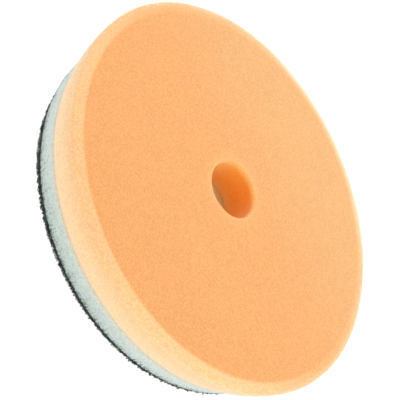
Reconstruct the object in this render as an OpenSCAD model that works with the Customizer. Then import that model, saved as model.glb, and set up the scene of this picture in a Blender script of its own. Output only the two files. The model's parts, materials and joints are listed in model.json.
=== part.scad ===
// Foam polishing pad for a rotary or orbital polisher: a soft polishing foam glued to a
// firmer interface foam, glued to a disc of loop fabric that a hook backing plate grips.
// One hole runs through every layer. The pad lies on its loops: the origin is the middle of
// the loops' tips, and +Z runs along the axis to the working face. Millimetres.

/* [Pad] */
// Diameter at the widest point, just below the working face
pad_d = 140; // [120:1:180]
// Thickness of the whole pad, from the loops' tips to the working face
pad_h = 25.3; // [22:0.1:40]
// Diameter of the hole through every layer
bore_d = 20.4; // [10:0.2:30]

/* [Polishing foam] */
// Width of the sloped ring that eases the working face's outer edge
bevel_w = 4.3; // [2:0.1:8]
// Slope of that ring, in degrees below the face
bevel_slope = 5; // [1:1:40]
// Radius of the round between the sloped ring and the side wall
edge_r = 0.8; // [0.3:0.1:2]
// Radius of the round on the hole's rim, in the working face
rim_r = 0.8; // [0.2:0.1:3]
// How far the side wall leans in, from the widest point to the foam's back, on the radius
foam_lean = 3.9; // [0:0.1:6]

/* [Interface foam] */
// Thickness of the interface foam
interface_h = 8.9; // [3:0.1:10]
// How far its side wall leans in from top to bottom, on the radius
interface_lean = 1.8; // [0:0.1:3]

/* [Backing] */
// Thickness of each of the two layers of glue film
film_h = 0.2; // [0.1:0.05:0.4]
// Thickness of the knitted ground of the loop fabric
fabric_h = 0.5; // [0.4:0.1:2]
// Height of the loops that stand on that ground
pile_h = 1.0; // [0.6:0.1:4]
// How far the fabric's edge stays inside the interface foam's lower edge
fabric_inset = 0.3; // [0:0.1:2]
// How far the outermost loops stay inside the fabric's edge
pile_inset = 0.6; // [0:0.1:2]

/* [Hidden] */
$fn = 180;
overcut = 1;
arc_steps = 10;

bore_r = bore_d / 2;
pad_r = pad_d / 2;

// Radii, from the working face down to the loops
flat_r = pad_r - bevel_w;
foam_back_r = pad_r - foam_lean;
interface_back_r = foam_back_r - interface_lean;
fabric_r = interface_back_r - fabric_inset;
pile_r = fabric_r - pile_inset;

// Heights of each layer's lower face, from the loops' tips up
fabric_z = pile_h;
backing_film_z = fabric_z + fabric_h;
interface_z = backing_film_z + film_h;
foam_film_z = interface_z + interface_h;
foam_z = foam_film_z + film_h;

// The round at the face's outer edge: its centre, and the side wall's lean below it, which
// makes the wall touch the round and reach the foam's back at foam_back_r
edge_x = pad_r - edge_r;
edge_drop = (edge_x + edge_r * sin(bevel_slope) - flat_r) * tan(bevel_slope);
edge_z = pad_h - edge_drop - edge_r * cos(bevel_slope);
edge_reach = norm([edge_x - foam_back_r, edge_z - foam_z]);
wall_lean = atan2(edge_x - foam_back_r, edge_z - foam_z) + asin(edge_r / edge_reach);

// Points along an arc, from one angle to another
function arc(centre, r, from, to) =
    [for (i = [0 : arc_steps])
        let (a = from + (to - from) * i / arc_steps)
        centre + r * [cos(a), sin(a)]];

// Ring with straight or leaning sides, and the pad's hole through it
module layer(z, h, r_low, r_top) {
    difference() {
        translate([0, 0, z])
            cylinder(h = h, r1 = r_low, r2 = r_top);
        translate([0, 0, z - overcut])
            cylinder(h = h + 2 * overcut, r = bore_r);
    }
}

// Open-cell foam that does the polishing
module polishing_foam() {
    outline = concat(
        [[bore_r, foam_z], [foam_back_r, foam_z]],
        arc([edge_x, edge_z], edge_r, -wall_lean, 90 - bevel_slope),
        [[flat_r, pad_h]],
        arc([bore_r + rim_r, pad_h - rim_r], rim_r, 90, 180)
    );
    color([0.98, 0.72, 0.48])
        rotate_extrude()
            polygon(outline);
}

// Hot-melt film between the two foams
module foam_glue_film() {
    color([0.93, 0.90, 0.84])
        layer(foam_film_z, film_h, foam_back_r, foam_back_r);
}

// Firmer foam that spreads the plate's pressure
module interface_foam() {
    color([0.82, 0.88, 0.85])
        layer(interface_z, interface_h, interface_back_r, foam_back_r);
}

// Hot-melt film between the interface foam and the fabric
module backing_glue_film() {
    color([0.55, 0.58, 0.56])
        layer(backing_film_z, film_h, fabric_r, fabric_r);
}

// Knitted ground of the loop fabric
module loop_fabric() {
    color([0.13, 0.16, 0.15])
        layer(fabric_z, fabric_h, fabric_r, fabric_r);
}

// Brushed loops, as one soft solid down to their tips
module loop_pile() {
    color([0.20, 0.24, 0.22])
        layer(0, pile_h, pile_r, pile_r);
}

polishing_foam();
foam_glue_film();
interface_foam();
backing_glue_film();
loop_fabric();
loop_pile();
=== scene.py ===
import json
import math

import bpy
import numpy as np
from mathutils import Matrix, Vector, noise


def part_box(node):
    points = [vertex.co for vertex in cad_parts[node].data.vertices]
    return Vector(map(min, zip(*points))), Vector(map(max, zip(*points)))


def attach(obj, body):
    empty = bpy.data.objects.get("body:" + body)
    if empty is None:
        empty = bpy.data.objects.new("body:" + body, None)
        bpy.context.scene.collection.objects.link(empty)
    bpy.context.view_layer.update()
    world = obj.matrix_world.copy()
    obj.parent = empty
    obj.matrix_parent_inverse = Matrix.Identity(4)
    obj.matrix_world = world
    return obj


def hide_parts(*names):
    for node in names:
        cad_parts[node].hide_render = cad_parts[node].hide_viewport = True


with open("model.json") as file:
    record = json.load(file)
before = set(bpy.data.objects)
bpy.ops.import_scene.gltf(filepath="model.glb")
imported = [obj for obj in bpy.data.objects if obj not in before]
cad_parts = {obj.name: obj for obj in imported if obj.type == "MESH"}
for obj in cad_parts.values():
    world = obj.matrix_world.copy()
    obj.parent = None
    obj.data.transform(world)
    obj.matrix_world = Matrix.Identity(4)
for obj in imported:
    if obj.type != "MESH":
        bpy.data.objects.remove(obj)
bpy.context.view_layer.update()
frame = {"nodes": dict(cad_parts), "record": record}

MM = 0.001
random = np.random.default_rng(7)

# ---------------------------------------------------------------- sizes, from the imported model

MOUNTS = {m["name"]: m for m in frame["record"]["mounts"]}
BORE_R = MOUNTS["centre_hole"]["dims"]["r_mm"] * MM
PAD_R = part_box("polishing_foam")[1].x
# A radius between the hole's wall and every outer wall
MIDWAY_R = (BORE_R + PAD_R) / 2
FACE_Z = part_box("polishing_foam")[1].z
FABRIC_Z, FABRIC_TOP_Z = (corner.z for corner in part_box("loop_fabric"))
FABRIC_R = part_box("loop_fabric")[1].x
PILE_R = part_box("loop_pile")[1].x
FOOT_Z, JOINT_Z = (corner.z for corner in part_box("interface_foam"))


def wall(node, outer):
    """(radius, height) along a CAD node's outer wall or its bore wall, from the bottom up."""
    co = np.array([v.co for v in frame["nodes"][node].data.vertices])
    radius = np.hypot(co[:, 0], co[:, 1])
    side = (radius > MIDWAY_R) == outer
    heights = np.unique(co[side, 2].round(6))
    return np.array([[radius[side & (abs(co[:, 2] - h) < 2e-6)].max(), h] for h in heights])


# Where the flat part of the working face ends and the sloped ring round it starts
FLAT_R = wall("polishing_foam", True)[-1, 0]

# How far the middle of the hole's mouth lies off the axis, and the depth at which the hole is
# back on it
MOUTH_SHIFT = (-0.54 * MM, 0.62 * MM)
MOUTH_DEPTH = 12 * MM

# ---------------------------------------------------------------- camera, floor and light

VIEW_ELEVATION = math.radians(39.75)
VIEW_ROLL = math.radians(65.65)
VIEW_DISTANCE = 441.4 * MM
LENS_MM = 117.06
# How far the middle of the working face lies right of the picture's middle, and above it
FACE_RIGHT = 11.41 * MM
FACE_UP = 2.96 * MM


def make_camera():
    """The camera, on the -Y side of the pad and above it, rolled about its own line of sight."""
    back = Vector((0, -math.cos(VIEW_ELEVATION), math.sin(VIEW_ELEVATION)))
    level_right = Vector((1, 0, 0))
    level_up = back.cross(level_right)
    right = level_right * math.cos(VIEW_ROLL) + level_up * math.sin(VIEW_ROLL)
    up = back.cross(right)
    eye = Vector((0, 0, FACE_Z)) - right * FACE_RIGHT - up * FACE_UP + back * VIEW_DISTANCE
    data = bpy.data.cameras.new("camera")
    data.lens = LENS_MM
    data.clip_start = 0.01
    camera = bpy.data.objects.new("camera", data)
    camera.matrix_world = Matrix.Translation(eye) @ Matrix((right, up, back)).transposed().to_4x4()
    bpy.context.scene.collection.objects.link(camera)
    bpy.context.scene.camera = camera


# Radiance of the white dome, and three faint lights: azimuth, elevation, distance, size, power
DOME = 1.01
BACK_LIGHT = (175, 14, 1.0, 0.4, 3.5)
TOP_LIGHT = (175, 80, 1.5, 0.8, 4.4)
FRONT_LIGHT = (25, 24, 1.6, 1.0, 4.5)
# The floor's half width and height, and the radiance of its own light, which leaves next to no
# shadow round the pad
FLOOR_HALF = 4.0
FLOOR_Z = -0.1 * MM
FLOOR_GLOW = 0.95


def soft_box(name, azimuth, elevation, distance, size, power):
    """A round area light that faces the pad. Azimuth 0 is the camera's side."""
    a, e = math.radians(azimuth), math.radians(elevation)
    back = Vector((math.sin(a) * math.cos(e), -math.cos(a) * math.cos(e), math.sin(e)))
    data = bpy.data.lights.new(name, "AREA")
    data.shape = "DISK"
    data.size = size
    data.energy = power
    light = bpy.data.objects.new(name, data)
    light.location = back * distance
    light.rotation_euler = back.to_track_quat("Z", "Y").to_euler()
    bpy.context.scene.collection.objects.link(light)


def make_stage():
    """The white dome, the lights and the floor."""
    world = bpy.data.worlds.new("studio")
    world.use_nodes = True
    background = world.node_tree.nodes["Background"]
    background.inputs["Color"].default_value = (1, 1, 1, 1)
    background.inputs["Strength"].default_value = DOME
    bpy.context.scene.world = world
    bpy.context.scene.view_settings.view_transform = "Standard"
    soft_box("back", *BACK_LIGHT)
    soft_box("top", *TOP_LIGHT)
    soft_box("front", *FRONT_LIGHT)

    mesh = bpy.data.meshes.new("floor")
    square = ((-1, -1), (1, -1), (1, 1), (-1, 1))
    corners = [(x * FLOOR_HALF, y * FLOOR_HALF, FLOOR_Z) for x, y in square]
    mesh.from_pydata(corners, [], [(0, 1, 2, 3)])
    floor = bpy.data.objects.new("floor", mesh)
    bpy.context.scene.collection.objects.link(floor)
    mesh.materials.append(floor_material())


# ---------------------------------------------------------------- material helpers

def new_material(name, **values):
    """A material, its node tree and its Principled shader. values are the shader's plain
    sockets, with an underscore for each space."""
    material = bpy.data.materials.new(name)
    material.use_nodes = True
    tree = material.node_tree
    shader = tree.nodes["Principled BSDF"]
    for socket, value in values.items():
        shader.inputs[socket.replace("_", " ")].default_value = value
    return material, tree, shader


def node(tree, kind, inputs=None, **settings):
    """A new node, its settings, and its inputs by name or number: a socket to link or a value."""
    made = tree.nodes.new("ShaderNode" + kind)
    for name, value in settings.items():
        setattr(made, name, value)
    for name, value in (inputs or {}).items():
        if isinstance(value, bpy.types.NodeSocket):
            tree.links.new(value, made.inputs[name])
        else:
            made.inputs[name].default_value = value
    return made


def place(tree):
    """The position in the row frame, in metres."""
    return node(tree, "TexCoord").outputs["Object"]


def fade(tree, value, start, end, low=0.0, high=1.0):
    """low before start, high after end, smooth between."""
    made = node(tree, "MapRange", {0: value, 1: start, 2: end, 3: low, 4: high},
                interpolation_type="SMOOTHSTEP")
    return made.outputs[0]


def blend_colours(tree, share, first, second, mode="MIX"):
    """The first colour, with a share of the second mixed in."""
    made = node(tree, "Mix", {0: share, 6: first, 7: second}, data_type="RGBA", blend_type=mode)
    return made.outputs[2]


def math_of(tree, operation, *values):
    return node(tree, "Math", dict(enumerate(values)), operation=operation).outputs[0]


def product(tree, first, *others):
    for other in others:
        first = math_of(tree, "MULTIPLY", first, other)
    return first


def cloud(tree, where, size, detail=2.0):
    """Smooth noise from 0 to 1 whose patches are about size across."""
    made = node(tree, "TexNoise", {"Vector": where, "Scale": 0.5 / size, "Detail": detail})
    return made.outputs["Fac"]


def stripes(tree, where, pitch, direction):
    """A slightly wavy band pattern from 0 to 1, which repeats about every pitch along X or Y."""
    made = node(tree, "TexWave", {"Vector": where, "Scale": 0.3 / pitch, "Distortion": 0.6},
                bands_direction=direction)
    return made.outputs["Fac"]


def add_bump(tree, shader, height, strength, distance):
    bump = node(tree, "Bump", {"Height": height, "Strength": strength, "Distance": distance})
    tree.links.new(bump.outputs["Normal"], shader.inputs["Normal"])


def coordinate(tree, where, axis):
    return node(tree, "SeparateXYZ", {0: where}).outputs[axis]


def axis_distance(tree, where):
    """The distance from the pad's axis."""
    flat = node(tree, "VectorMath", {0: where, 1: (1, 1, 0)}, operation="MULTIPLY").outputs[0]
    return node(tree, "VectorMath", {0: flat}, operation="LENGTH").outputs["Value"]


def hole_distance(tree, where):
    """The distance from the hole's own middle, which lies off the axis near the working face."""
    share = fade(tree, coordinate(tree, where, "Z"), FACE_Z - MOUTH_DEPTH, FACE_Z)
    shift = node(tree, "VectorMath", {0: (*MOUTH_SHIFT, 0), "Scale": share}, operation="SCALE")
    moved = node(tree, "VectorMath", {0: where, 1: shift.outputs[0]}, operation="SUBTRACT")
    return axis_distance(tree, moved.outputs[0])


# ---------------------------------------------------------------- materials

def floor_material():
    return new_material(
        "floor", Base_Color=(0.15, 0.15, 0.15, 1), Roughness=0.9, Specular_IOR_Level=0.0,
        Emission_Color=(1, 1, 1, 1), Emission_Strength=FLOOR_GLOW)[0]


def foam_cells(tree, where, size):
    """(strut, pore) of open cells: strut is 1 on the walls between cells, pore 1 deep in a cell."""
    wobble = node(tree, "TexNoise", {"Vector": where, "Scale": 0.4 / size, "Detail": 1.0})
    offset = node(tree, "VectorMath", {0: wobble.outputs["Color"], 1: (0.5, 0.5, 0.5)},
                  operation="SUBTRACT").outputs[0]
    moved = node(tree, "VectorMath", {0: offset, "Scale": size * 1.4}, operation="SCALE").outputs[0]
    bent = node(tree, "VectorMath", {0: where, 1: moved}, operation="ADD").outputs[0]
    edges = node(tree, "TexVoronoi", {"Vector": bent, "Scale": 1 / size, "Randomness": 0.9},
                 feature="DISTANCE_TO_EDGE").outputs["Distance"]
    strut = fade(tree, edges, 0.04, 0.30, 1.0, 0.0)
    pore = fade(tree, edges, 0.10, 0.45, 0.0, 1.0)
    return strut, pore


def grey_of(tree, value):
    return node(tree, "CombineColor", {0: value, 1: value, 2: value}).outputs[0]


def foam_material(name, colour, zones, tints, cell, painted_pore_shade, grain_shades, **values):
    """Open-cell foam. Each of its zones is a function that gives the zone's mask, and a colour;
    each of its tints is the same, but multiplies the colour. grain_shades are the tints of its
    darkest and its palest grain."""
    material, tree, shader = new_material(name, **values)
    where = place(tree)
    strut, pore = foam_cells(tree, where, cell)
    base = colour
    for mask, zone_colour in zones:
        base = blend_colours(tree, mask(tree, where), base, zone_colour)
    patches = fade(tree, cloud(tree, where, 12 * MM, 3.0), 0.3, 0.7, 0.99, 1.006)
    mottle = fade(tree, cloud(tree, where, 1.5 * MM, 2.0), 0.25, 0.75, 0.988, 1.01)
    grain = fade(tree, cloud(tree, where, 0.35 * MM, 1.0), 0.3, 0.7)
    # The first shade is painted shade deep in the cells' pores; the grain is the foam's own random
    # tone.
    shades = (blend_colours(tree, pore, (1, 1, 1, 1), painted_pore_shade),
              blend_colours(tree, grain, *grain_shades),
              grey_of(tree, product(tree, patches, mottle)),
              *(blend_colours(tree, mask(tree, where), (1, 1, 1, 1), tint) for mask, tint in tints))
    for shade in shades:
        base = blend_colours(tree, 1.0, base, shade, "MULTIPLY")
    tree.links.new(base, shader.inputs["Base Color"])
    height = math_of(tree, "ADD", strut, product(tree, grain, 0.3))
    add_bump(tree, shader, height, 0.55, 0.12 * MM)
    rough = fade(tree, pore, 0.0, 1.0, 0.86, 0.97)
    tree.links.new(rough, shader.inputs["Roughness"])
    return material


# The functions from here down to far_film each give a mask, from 0 outside its zone up to 1 in it

def outer_edge(tree, where):
    """The sloped ring and everything outside it."""
    return fade(tree, axis_distance(tree, where), FLAT_R - 0.5 * MM, FLAT_R + 1.2 * MM)


def on_outside(tree, where):
    return fade(tree, axis_distance(tree, where), MIDWAY_R, MIDWAY_R + 10 * MM)


def side_below(tree, where, start, end):
    """Grows from nothing at depth start below the working face to 1 at depth end, outside only."""
    down = fade(tree, coordinate(tree, where, "Z"), FACE_Z - end, FACE_Z - start, 1.0, 0.0)
    return product(tree, down, on_outside(tree, where))


def side_top(tree, where):
    """The side wall and the round above it, painted paler as painted sheen and light from the
    floor.
    """
    return side_below(tree, where, 0.4 * MM, 1.3 * MM)


def side_wall(tree, where):
    """The side wall, more and more from its top down, painted paler lower down as painted light
    from the floor.
    """
    return side_below(tree, where, 1.5 * MM, 9 * MM)


def edge_round(tree, where):
    """The round between the sloped ring and the side wall, painted paler as a painted highlight."""
    start = side_below(tree, where, 0.2 * MM, 0.45 * MM)
    end = side_below(tree, where, 1.0 * MM, 1.5 * MM)
    return math_of(tree, "SUBTRACT", start, end)


def nearness(tree, where):
    """1 on the side towards the camera, 0 on the far side."""
    return fade(tree, coordinate(tree, where, "Y"), -36 * MM, 10 * MM, 1.0, 0.0)


def near_edge_light(tree, where):
    """The sloped ring and the side wall, towards the camera, painted paler there as painted light
    from the front.
    """
    return product(tree, outer_edge(tree, where), nearness(tree, where))


def painted_light_edge(tree, where):
    """The stretch of the near edge, on the +X side, tinted a little paler as painted light from
    that side.
    """
    side = fade(tree, coordinate(tree, where, "X"), -15 * MM, 40 * MM)
    top = fade(tree, coordinate(tree, where, "Z"), FACE_Z - 5 * MM, FACE_Z - 1.5 * MM)
    return product(tree, near_edge_light(tree, where), side, top)


def far_rim_sheen(tree, where):
    """The outermost bit of the sloped ring, more and more away from the camera, painted paler as
    painted sheen.
    """
    distance = coordinate(tree, where, "Y")
    far = math_of(tree, "ADD", fade(tree, distance, -25 * MM, 5 * MM, 0.0, 0.5),
                  fade(tree, distance, 50 * MM, 70 * MM, 0.0, 0.5))
    rim = fade(tree, axis_distance(tree, where), PAD_R - 3 * MM, PAD_R)
    return product(tree, far, rim)


def far_ring_sheen(tree, where):
    """The stretch of the sloped ring that lies furthest from the camera, tinted paler as painted
    sheen.
    """
    far = fade(tree, coordinate(tree, where, "Y"), 46 * MM, 68 * MM)
    return product(tree, far, outer_edge(tree, where))


def foam_foot(tree, where):
    """The last bit of the side wall, next to the interface foam."""
    height = coordinate(tree, where, "Z")
    down = fade(tree, height, JOINT_Z + 0.1 * MM, JOINT_Z + 2.2 * MM, 1.0, 0.0)
    return product(tree, down, on_outside(tree, where))


def far_face_sheen(tree, where):
    """Everything away from the camera, more and more from just before the axis, tinted paler as
    painted sheen.
    """
    return fade(tree, coordinate(tree, where, "Y"), -5 * MM, 50 * MM)


def hole_rim(tree, where):
    """The round on the hole's rim, more and more from its top down, painted bright orange as the
    start of the hole's painted light.
    """
    near = fade(tree, hole_distance(tree, where), BORE_R + 0.8 * MM, BORE_R + 1.2 * MM, 1.0, 0.0)
    height = coordinate(tree, where, "Z")
    down = fade(tree, height, FACE_Z - 1 * MM, FACE_Z + 0.25 * MM, 1.0, 0.0)
    return product(tree, near, down)


def painted_hole_glow(tree, where):
    """The face next to the hole, and the hole's rim, tinted a little paler as a painted glow of
    light through the foam.
    """
    near = fade(tree, hole_distance(tree, where), BORE_R + 0.8 * MM, BORE_R + 5 * MM, 1.0, 0.0)
    top = fade(tree, coordinate(tree, where, "Z"), FACE_Z - 3 * MM, FACE_Z - 0.8 * MM)
    return product(tree, near, top)


def in_hole(tree, where):
    """Within a little of the hole's wall, at any height."""
    return fade(tree, hole_distance(tree, where), BORE_R + 0.2 * MM, BORE_R + 0.8 * MM, 1.0, 0.0)


def bore_wall(tree, where):
    """The hole's wall, from a little way below the working face down; each colour given to it
    paints the orange light bounced inside the hole.
    """
    height = coordinate(tree, where, "Z")
    down = fade(tree, height, FACE_Z - 2.6 * MM, FACE_Z - 0.3 * MM, 1.0, 0.0)
    return product(tree, in_hole(tree, where), down)


def bore_deep(tree, where):
    """The lower part of the polishing foam's hole, painted paler as part of the hole's painted
    light.
    """
    height = coordinate(tree, where, "Z")
    down = fade(tree, height, FACE_Z - 14.5 * MM, FACE_Z - 9 * MM, 1.0, 0.0)
    return product(tree, in_hole(tree, where), down)


def hole_end(tree, where):
    """The end of the hole's wall on the -X side, tinted paler down to about half its depth as
    painted light.
    """
    side = fade(tree, coordinate(tree, where, "X"), -BORE_R, 2 * MM, 1.0, 0.0)
    top = fade(tree, coordinate(tree, where, "Z"), FACE_Z - 15 * MM, FACE_Z - 6 * MM)
    return product(tree, side, bore_wall(tree, where), top)


def joint_line(tree, where):
    """The top of the interface foam, which takes some colour from the foam above."""
    return fade(tree, coordinate(tree, where, "Z"), JOINT_Z - 2.4 * MM, JOINT_Z)


def foot_shade_and_fuzz(tree, where):
    """The lower half of the interface foam, tinted darker towards its foot: painted shade near the
    fabric, and the grey of clinging fibres.
    """
    return fade(tree, coordinate(tree, where, "Z"), FOOT_Z, FOOT_Z + 5 * MM, 1.0, 0.0)


def painted_near_shade(tree, where):
    """The interface foam's lower part, in the middle of the side towards the camera, tinted darker
    as painted shade.
    """
    near = fade(tree, coordinate(tree, where, "Y"), -64 * MM, -54 * MM, 1.0, 0.0)
    low = fade(tree, coordinate(tree, where, "Z"), JOINT_Z - 4 * MM, JOINT_Z, 1.0, 0.0)
    return product(tree, near, low)


def dark_specks(tree, where):
    """Bits of black yarn caught in the interface foam, fewer and fewer from its foot up."""
    height = coordinate(tree, where, "Z")
    rarer = fade(tree, height, FOOT_Z - 2 * MM, FOOT_Z + 4 * MM, 0.0, 0.20)
    spots = math_of(tree, "SUBTRACT", cloud(tree, where, 0.28 * MM, 1.0), rarer)
    return fade(tree, spots, 0.57, 0.62, 0.0, 0.85)


def far_film(tree, where):
    """Everything but the side towards the camera."""
    return fade(tree, coordinate(tree, where, "Y"), -50 * MM, -36 * MM)


def polishing_foam_material():
    # The ring's colours on this line and at the start of the next are painted light: paler than the
    # face, most towards the camera, and at the far outer edge as painted sheen.
    zones = [(outer_edge, (0.80, 0.40, 0.158, 1)), (near_edge_light, (0.80, 0.505, 0.24, 1)),
             (far_rim_sheen, (0.92, 0.64, 0.38, 1)), (side_top, (0.85, 0.53, 0.262, 1)),
             # The side wall's colours, here and on the line above, are painted sheen and light from
             # the floor, paler lower down; the round's colour is a painted highlight.
             (side_wall, (0.915, 0.59, 0.318, 1)), (edge_round, (0.83, 0.52, 0.27, 1)),
             # The hole's colours, from the rim's on this line down, paint the orange light bounced
             # inside the hole, paler lower down.
             (foam_foot, (0.745, 0.55, 0.355, 1)), (hole_rim, (0.98, 0.51, 0.15, 1)),
             (bore_wall, (1.0, 0.333, 0.044, 1)), (bore_deep, (1.0, 0.435, 0.10, 1))]
    # Painted light and sheen: the +X stretch of the near edge, and the far side more and more, are
    # tinted paler.
    tints = [(painted_light_edge, (1.0, 1.10, 1.14, 1)), (far_face_sheen, (0.97, 1.08, 1.21, 1)),
             # Painted light round the hole: a paler glow next to it, a paler -X end, and on the
             # next line a redder tint on its wall.
             (painted_hole_glow, (1.0, 1.07, 1.12, 1)), (hole_end, (1.0, 1.20, 1.35, 1)),
             # The ring's far stretch, at the end of this line, is tinted paler as painted sheen.
             (bore_wall, (1.06, 1.0, 1.0, 1)), (far_ring_sheen, (1.0, 1.14, 1.28, 1))]
    return foam_material(
        "polishing_foam", (0.775, 0.365, 0.13, 1), zones, tints, cell=0.42 * MM,
        # The pores' painted shade
        painted_pore_shade=(0.955, 0.915, 0.86, 1),
        grain_shades=((0.94, 0.90, 0.86, 1), (1.05, 1.08, 1.12, 1)),
        Subsurface_Weight=1.0, Subsurface_Radius=(1.0, 0.35, 0.15), Subsurface_Scale=2.5 * MM,
        Sheen_Weight=0.3, Sheen_Roughness=0.4, Sheen_Tint=(1.0, 1.0, 1.0, 1),
        Specular_IOR_Level=0.1)


def interface_foam_material():
    zones = [(joint_line, (0.69, 0.615, 0.48, 1)), (dark_specks, (0.10, 0.13, 0.12, 1)),
             # The interface foam's colour in the hole is painted light: the orange bounced inside
             # the hole.
             (bore_wall, (0.80, 0.53, 0.25, 1))]
    # Both tints are painted shade: darker towards the foot, with clinging fibres adding grey there,
    # and on the side towards the camera.
    tints = [(foot_shade_and_fuzz, (0.87, 0.88, 0.875, 1)), (painted_near_shade, (0.90, 0.91, 0.905, 1))]
    return foam_material(
        "interface_foam", (0.575, 0.66, 0.61, 1), zones, tints, cell=0.34 * MM,
        # The pores' painted shade
        painted_pore_shade=(0.87, 0.88, 0.87, 1),
        grain_shades=((0.88, 0.88, 0.88, 1), (1.10, 1.10, 1.10, 1)),
        Subsurface_Weight=0.4, Subsurface_Radius=(1.0, 1.0, 1.0), Subsurface_Scale=1.2 * MM,
        Sheen_Weight=0.4, Sheen_Roughness=0.4, Sheen_Tint=(1.0, 1.0, 1.0, 1),
        Specular_IOR_Level=0.1)


def film_material(name, colour, far_colour, hole_light_colour):
    """Hot-melt film in small drops. Its edge has a colour of its own on the side away from the
    camera, and another in the hole, which paints the orange light bounced inside the hole."""
    material, tree, shader = new_material(
        name, Roughness=0.7, Sheen_Weight=0.3, Sheen_Roughness=0.4, Specular_IOR_Level=0.2)
    where = place(tree)
    drops = fade(tree, cloud(tree, where, 0.8 * MM), 0.35, 0.65)
    base = blend_colours(tree, far_film(tree, where), colour, far_colour)
    # The colour in the hole is painted light: the orange bounced inside the hole.
    base = blend_colours(tree, bore_wall(tree, where), base, hole_light_colour)
    shade = blend_colours(tree, drops, (0.88, 0.88, 0.88, 1), (1, 1, 1, 1))
    tree.links.new(blend_colours(tree, 1.0, base, shade, "MULTIPLY"), shader.inputs["Base Color"])
    add_bump(tree, shader, drops, 0.4, 0.05 * MM)
    return material


def knit_material():
    """Black warp knit: rows of stitches along X, worked out from two crossing waves."""
    material, tree, shader = new_material(
        "loop_fabric", Roughness=0.85, Sheen_Weight=0.3, Sheen_Roughness=0.4,
        Sheen_Tint=(0.75, 0.85, 0.8, 1), Specular_IOR_Level=0.2)
    where = place(tree)
    rows = stripes(tree, where, 0.9 * MM, "X")
    ribs = stripes(tree, where, 1.3 * MM, "Y")
    stitches = product(tree, rows, ribs)
    fuzz = cloud(tree, where, 0.3 * MM, 3.0)
    shade = math_of(tree, "ADD", stitches, product(tree, fuzz, 0.6))
    base = blend_colours(tree, fade(tree, shade, 0.2, 1.2), (0.018, 0.025, 0.022, 1),
                         (0.07, 0.092, 0.082, 1))
    tree.links.new(base, shader.inputs["Base Color"])
    add_bump(tree, shader, shade, 0.7, 0.15 * MM)
    return material


def nylon_material():
    """Dark nylon filament, a little lighter in some loops than in others, with pale specks: pale
    lint, and painted glints on the glossy loops.
    """
    material, tree, shader = new_material(
        "loop_pile", Roughness=0.55, Sheen_Weight=0.1, Sheen_Roughness=0.3,
        Sheen_Tint=(0.8, 0.9, 0.85, 1), Specular_IOR_Level=0.25)
    where = place(tree)
    tufts = fade(tree, cloud(tree, where, 1.6 * MM, 2.0), 0.35, 0.7)
    base = blend_colours(tree, tufts, (0.020, 0.029, 0.025, 1), (0.080, 0.106, 0.093, 1))
    # The pale specks are partly pale lint and partly painted glints on the loops.
    pale = fade(tree, cloud(tree, where, 0.45 * MM, 1.0), 0.64, 0.70)
    base = blend_colours(tree, pale, base, (0.42, 0.47, 0.44, 1))
    tree.links.new(base, shader.inputs["Base Color"])
    return material


# ---------------------------------------------------------------- mesh helpers

def dress(cad_node, material):
    """Gives a CAD node that stays visible its material."""
    materials = frame["nodes"][cad_node].data.materials
    materials.clear()
    materials.append(material)


def new_piece(name, points, faces, material, slot, *replaced):
    """A piece on the pad's one body, which stands for the CAD nodes replaced."""
    mesh = bpy.data.meshes.new(name)
    mesh.from_pydata(points.tolist(), [], faces)
    mesh.materials.append(material)
    mesh.shade_smooth()
    piece = bpy.data.objects.new(name, mesh)
    bpy.context.scene.collection.objects.link(piece)
    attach(piece, "root")
    if replaced:
        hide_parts(*replaced)
    return piece


def subdivided(points, step):
    """An open outline with no piece of it longer than step."""
    made = [points[0]]
    for start, end in zip(points[:-1], points[1:]):
        count = max(1, math.ceil(np.linalg.norm(end - start) / step))
        made += [start + (end - start) * i / count for i in range(1, count + 1)]
    return np.array(made)


def softened(points, rounds):
    """An open outline with its corners eased, its two ends kept."""
    for _ in range(rounds):
        points = points.copy()
        points[1:-1] = (points[:-2] + 2 * points[1:-1] + points[2:]) / 4
    return points


def turned(outline, steps):
    """(points, quads) of a closed outline (radius, height) turned about Z."""
    angle = np.linspace(0, 2 * math.pi, steps, endpoint=False)[:, None]
    radius, height = outline.T
    points = np.stack([radius * np.cos(angle), radius * np.sin(angle),
                       np.broadcast_to(height, (steps, len(height)))], axis=-1)
    across = len(outline)
    i, j = np.meshgrid(np.arange(steps), np.arange(across), indexing="ij")
    next_i, next_j = (i + 1) % steps, (j + 1) % across
    quads = np.stack([i * across + j, next_i * across + j,
                      next_i * across + next_j, i * across + next_j], axis=-1)
    return points.reshape(-1, 3), quads.reshape(-1, 4).tolist()


def layer_outline(cad_node, step, under_step, rounds):
    """The closed outline of a ring-shaped CAD node, from its bore's foot round by its face. Its
    underside, which hardly shows, has a step of its own."""
    bore, outer = wall(cad_node, False), wall(cad_node, True)
    over = np.vstack([bore, outer[::-1]])
    fine = softened(subdivided(over, step), rounds)
    under = subdivided(np.vstack([fine[-1], fine[0]]), under_step)[1:-1]
    return np.vstack([fine, under])


def roughened(points, normals, share, *waves):
    """Points moved along their normals by noise: waves are (size, height), share is per point."""
    moved = np.zeros(len(points))
    for size, height in waves:
        moved += height * np.array([noise.noise(Vector(p)) for p in points / size])
    return points + normals * (moved * share)[:, None]


def normals_of(points, faces):
    mesh = bpy.data.meshes.new("normals")
    mesh.from_pydata(points.tolist(), [], faces)
    found = np.array([v.normal for v in mesh.vertices])
    bpy.data.meshes.remove(mesh)
    return found


# ---------------------------------------------------------------- the foams

# The height over which a foam's surface goes from smooth, where it is glued, to rough
GLUED_H = 0.6 * MM
# The step along a foam's underside, which never shows
HIDDEN_STEP = 4 * MM


def swollen(outline, height):
    """An outline whose outer wall bulges by height, halfway up to its widest point."""
    widest, lowest = outline[outline[:, 0].argmax(), 1], outline[:, 1].min()
    rise = np.clip((outline[:, 1] - lowest) / (widest - lowest), 0, 1)
    bulge = np.where(outline[:, 0] > MIDWAY_R, 4 * height * rise * (1 - rise), 0)
    return outline + np.stack([bulge, np.zeros(len(bulge))], axis=1)


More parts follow.
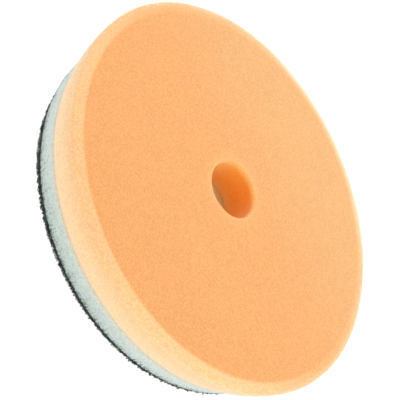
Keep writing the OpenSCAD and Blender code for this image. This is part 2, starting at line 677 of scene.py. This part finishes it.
def mouth_moved(points):
    """Points, with those round the hole's mouth moved aside with it."""
    near = np.clip((MIDWAY_R - np.hypot(*points[:, :2].T)) / (MIDWAY_R - BORE_R), 0, 1)
    high = np.clip(1 - (FACE_Z - points[:, 2]) / MOUTH_DEPTH, 0, 1)
    share = near * high**2 * (3 - 2 * high)
    return points + share[:, None] * np.array((*MOUTH_SHIFT, 0))


def make_foam(name, cad_node, step, steps, material, swell, waves):
    """A foam layer, with steps points round it, each step apart along its outline. Its outer wall
    bulges by swell, and waves are the size and height of each noise that roughens it."""
    outline = swollen(layer_outline(cad_node, step, HIDDEN_STEP, rounds=2), swell)
    points, quads = turned(outline, steps)
    low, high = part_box(cad_node)
    share = np.clip((points[:, 2] - low.z) / GLUED_H, 0, 1)
    if high.z < FACE_Z - GLUED_H:
        share *= np.clip((high.z - points[:, 2]) / GLUED_H, 0, 1)
    points = mouth_moved(roughened(points, normals_of(points, quads), share, *waves))
    piece = new_piece(name, points, quads, material, cad_node, cad_node)


# ---------------------------------------------------------------- the backing

# How far the fabric lies off the pad's axis
FABRIC_SHIFT = (-0.50 * MM, -0.20 * MM)
# Where its edge is cut short: middle and half width of the stretch, in degrees, and how much
SHORT_CUT = (-163, 38, 1.8 * MM)
# How far its edge wanders in and out, and the two numbers of waves round it that do this
EDGE_WANDER = 0.18 * MM
EDGE_WAVES = (311, 143)
# The furthest from the axis that the fabric's ground, its loops and its yarn ends may reach
GROUND_REACH = FABRIC_R + 0.65 * MM
LOOP_REACH = PILE_R + 1.4 * MM
FUZZ_REACH = FABRIC_R + 1.05 * MM


def tubes(paths, sideways, radius, sides=3):
    """(points, faces) of closed tubes round many paths at once. paths is (count, points, 3);
    sideways, one direction for each path, is never along it."""
    count, length, _ = paths.shape
    along = np.gradient(paths, axis=1)
    along /= np.linalg.norm(along, axis=2, keepdims=True)
    first = np.cross(along, sideways[:, None, :])
    first /= np.linalg.norm(first, axis=2, keepdims=True)
    second = np.cross(along, first)
    turn = np.linspace(0, 2 * math.pi, sides, endpoint=False)[:, None]
    ring = first[:, :, None] * np.cos(turn) + second[:, :, None] * np.sin(turn)
    radius = np.broadcast_to(np.asarray(radius), (count, length))
    points = paths[:, :, None] + ring * radius[:, :, None, None]
    start = (np.arange(count) * length * sides)[:, None, None]
    i, s = np.meshgrid(np.arange(length - 1), np.arange(sides), indexing="ij")
    after = (s + 1) % sides
    quads = np.stack([i * sides + s, i * sides + after, (i + 1) * sides + after,
                      (i + 1) * sides + s], axis=-1).reshape(1, -1, 4) + start
    near = np.arange(sides)[::-1][None] + start[:, 0]
    far = (length - 1) * sides + np.arange(sides)[None] + start[:, 0]
    faces = quads.reshape(-1, 4).tolist() + near.tolist() + far.tolist()
    return points.reshape(-1, 3), faces


def scattered(count, inner, outer):
    """Points spread evenly over a ring, by a sunflower spiral, and shaken."""
    i = np.arange(count) + 0.5
    radius = np.sqrt(inner**2 + (outer**2 - inner**2) * i / count)
    angle = i * math.pi * (3 - math.sqrt(5))
    spacing = math.sqrt(math.pi * (outer**2 - inner**2) / count)
    flat = np.stack([radius * np.cos(angle), radius * np.sin(angle)], axis=1)
    return flat + random.uniform(-0.35, 0.35, (count, 2)) * spacing


def cut_share(angle):
    """1 in the middle of the stretch where the edge is cut short, 0 outside it."""
    middle, half, _ = SHORT_CUT
    away = np.clip(np.abs((np.degrees(angle) - middle + 180) % 360 - 180) / half, 0, 1)
    return (1 - away) ** 2 * (1 + 2 * away)


def laid_off_centre(points, least, most):
    """Moves the fabric's points to where the fabric lies, but keeps them between two radii."""
    angle = np.arctan2(points[..., 1], points[..., 0])
    short = SHORT_CUT[2] * cut_share(angle)
    short += EDGE_WANDER * np.sin(EDGE_WAVES[0] * angle) * np.sin(EDGE_WAVES[1] * angle + 1)
    points[..., :2] += np.array(FABRIC_SHIFT)
    reach = np.hypot(points[..., 0], points[..., 1])
    # The cut and the wander fade out halfway in
    outer_part = np.clip((reach - FABRIC_R / 2) / (FABRIC_R / 2), 0, 1.1)
    kept = np.clip(reach - short * outer_part, least, most)
    points[..., :2] *= (kept / reach)[..., None]


def headed(angle):
    """Level directions at these angles."""
    return np.stack([np.cos(angle), np.sin(angle), np.zeros(len(angle))], axis=1)


def tufted(count, tufts, shake, spread):
    """(tuft, angle, outward direction) of fibres that stand in tufts round the axis. shake moves
    whole tufts and spread moves each fibre, both as shares of the tufts' spacing."""
    tuft = random.integers(0, tufts, count)
    middle = random.uniform(-shake, shake, tufts) + np.arange(tufts)
    angle = (middle[tuft] + random.normal(0, spread, count)) * 2 * math.pi / tufts
    return tuft, angle, headed(angle)


def make_loops(name, count, inner, outer, height, width, thickness, material):
    """Nylon loops that hang from the fabric's ground. height and width are (least, most)."""
    foot = scattered(count, inner, outer)
    direction = headed(random.uniform(0, 2 * math.pi, count))
    sideways = np.cross((0, 0, 1), direction)
    # Loops close together are about as tall as one another, so they show as tufts
    tuft = np.array([noise.noise(Vector((*p, 0))) for p in foot / (0.9 * MM)])
    share = np.clip(0.55 + 0.9 * tuft + random.uniform(-0.25, 0.25, count), 0, 1)
    tall = (height[0] + (height[1] - height[0]) * share)[:, None]
    wide = random.uniform(*width, count)[:, None]
    lean = random.uniform(-0.6, 0.6, count)[:, None] * MM
    path_points = 6
    t = np.linspace(0, 1, path_points)[None]
    arch = np.sin(math.pi * t) ** 0.6
    run = (t - 0.5) * wide + random.uniform(-0.15, 0.15, (count, path_points)) * wide * arch
    paths = direction[:, None] * run[..., None] + sideways[:, None] * (arch * lean)[..., None]
    paths[..., :2] += foot[:, None]
    paths[..., 2] += FABRIC_Z + 0.15 * MM - arch * tall
    laid_off_centre(paths, BORE_R + 0.3 * MM, LOOP_REACH)
    paths[..., 2] = np.maximum(paths[..., 2], thickness / 2 + 0.02 * MM)
    points, faces = tubes(paths, sideways, thickness / 2)
    return new_piece(name, points, faces, material, "loop_pile")


def strands(start, out, length, pitch, curl, yaw, bends, thickness):
    """(paths, radii) of short fibres. Each starts at its point and heads out, turned up by pitch
    and more and more by curl, and aside by yaw. The angles are in radians, one for each fibre."""
    rise = np.array([0.0, 0.0, 1.0])
    aside = np.cross(rise, out)
    path = [start]
    for t in np.linspace(0, 1, bends):
        up_angle = (pitch + curl * t)[:, None]
        side_angle = (yaw * (0.4 + t))[:, None]
        flat = out * np.cos(side_angle) + aside * np.sin(side_angle)
        step = flat * np.cos(up_angle) + rise * np.sin(up_angle)
        path.append(path[-1] + step * (length / bends)[:, None])
    taper = np.linspace(1.0, 0.5, bends + 1)[None] * thickness[:, None] / 2
    return np.stack(path, axis=1), taper


def make_rim_fuzz(material):
    """Tufts of cut yarn ends round the fabric's rim, which curl out, down and up over the foam."""
    count, tufts = 6000, 850
    tuft, _, out = tufted(count, tufts, shake=0.3, spread=0.17)
    reach = random.uniform(0.35, 1.0, tufts)[tuft] * random.uniform(0.6, 1.2, count)
    start = out * (FABRIC_R - 0.25 * MM)
    start[:, 2] = random.uniform(FABRIC_Z - 0.6 * MM, FABRIC_TOP_Z + 0.1 * MM, count)
    paths, radius = strands(
        start, out, length=reach * 0.6 * MM, pitch=random.uniform(-0.9, 1.3, count),
        curl=random.uniform(-0.5, 1.4, count), yaw=random.normal(0, 0.8, count), bends=4,
        thickness=random.uniform(0.13, 0.21, count) * MM)
    laid_off_centre(paths, BORE_R, FUZZ_REACH)
    paths[..., 2] = np.maximum(paths[..., 2], 0.12 * MM)
    points, faces = tubes(paths, np.cross(out, (0, 0, 1)), radius)
    return new_piece("loop_fabric_rim_fuzz", points, faces, material, "loop_pile")


def make_clinging_fuzz(material):
    """Short fibres that cling to the interface foam's side, fewer and fewer from its foot up."""
    count, tufts = 9000, 460
    tuft, angle, out = tufted(count, tufts, shake=0.35, spread=0.18)
    foot, top = wall("interface_foam", True)[[0, -1]]
    # How far up the foam's side each fibre sits, from 0 to 1. Most stay low, each tuft to a
    # height of its own, and a quarter of them spread higher.
    tall = 0.006 + 0.15 * random.uniform(0, 1, tufts)[tuft] ** 2
    spread = np.where(random.uniform(0, 1, count) < 0.75, tall, 0.16)
    share = np.minimum(random.exponential(spread), random.uniform(0.3, 0.95, count))
    wall_radius = foot[0] + (top[0] - foot[0]) * share
    start = out * (wall_radius + 0.03 * MM)[:, None]
    start[:, 2] = foot[1] + (top[1] - foot[1]) * share
    swing = random.uniform(0.2, math.pi - 0.2, count)
    paths, radius = strands(
        start, np.cross((0, 0, 1), out), length=random.uniform(0.15, 0.42, count) * MM,
        pitch=swing, curl=random.uniform(-0.8, 0.8, count),
        yaw=random.uniform(-0.25, 0.05, count), bends=3,
        thickness=random.uniform(0.12, 0.20, count) * MM)
    kept = random.uniform(0, 1, count) > 0.9 * cut_share(angle)
    points, faces = tubes(paths[kept], out[kept], radius[kept])
    return new_piece("loop_fabric_clinging_fuzz", points, faces, material, "loop_pile")


def make_backing(nylon):
    """The loop fabric: its ground, three kinds of loops and two of loose yarn ends."""
    outline = layer_outline("loop_fabric", step=0.35 * MM, under_step=1.2 * MM, rounds=1)
    points, quads = turned(outline, 480)
    points = roughened(points, normals_of(points, quads), 1.0, (0.8 * MM, 0.08 * MM))
    laid_off_centre(points, BORE_R, GROUND_REACH)
    fabric = new_piece("loop_fabric_ground", points, quads, knit_material(), "loop_fabric",
                       "loop_fabric")
    inner, outer = BORE_R + 0.6 * MM, PILE_R - 0.2 * MM
    long_loops = make_loops(
        "loop_pile_long", 6000, inner, outer, height=(0.72 * MM, 1.03 * MM),
        width=(0.9 * MM, 1.8 * MM), thickness=0.19 * MM, material=nylon)
    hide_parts("loop_pile")
    short_loops = make_loops(
        "loop_pile_short", 6000, inner, outer, height=(0.40 * MM, 0.70 * MM),
        width=(0.8 * MM, 1.5 * MM), thickness=0.22 * MM, material=nylon)
    rim_loops = make_loops(
        "loop_pile_rim", 5600, PILE_R - 0.7 * MM, PILE_R + 0.85 * MM,
        height=(0.6 * MM, 1.03 * MM), width=(0.5 * MM, 1.0 * MM), thickness=0.24 * MM,
        material=nylon)
    fuzz = [make_rim_fuzz(nylon), make_clinging_fuzz(nylon)]


# ---------------------------------------------------------------- put it together

# The film between the two foams, which has one colour all round
FOAM_FILM = (0.74, 0.64, 0.50, 1)

make_camera()
make_stage()
make_foam(
    "polishing_foam_body", "polishing_foam", step=0.65 * MM, steps=480,
    material=polishing_foam_material(), swell=0.6 * MM,
    waves=((12 * MM, 0.10 * MM), (2.2 * MM, 0.05 * MM), (1.2 * MM, 0.04 * MM)))
make_foam(
    "interface_foam_body", "interface_foam", step=0.5 * MM, steps=600,
    material=interface_foam_material(), swell=0.0,
    waves=((6 * MM, 0.05 * MM), (1.2 * MM, 0.04 * MM)))
make_backing(nylon_material())
# The films' colours in the hole are painted light: the orange bounced inside it.
dress("foam_glue_film", film_material("foam_glue_film", FOAM_FILM, FOAM_FILM, (1.0, 0.50, 0.16, 1)))
dress("backing_glue_film", film_material(
    "backing_glue_film", (0.18, 0.21, 0.19, 1), (0.52, 0.59, 0.55, 1), (0.20, 0.14, 0.09, 1)))
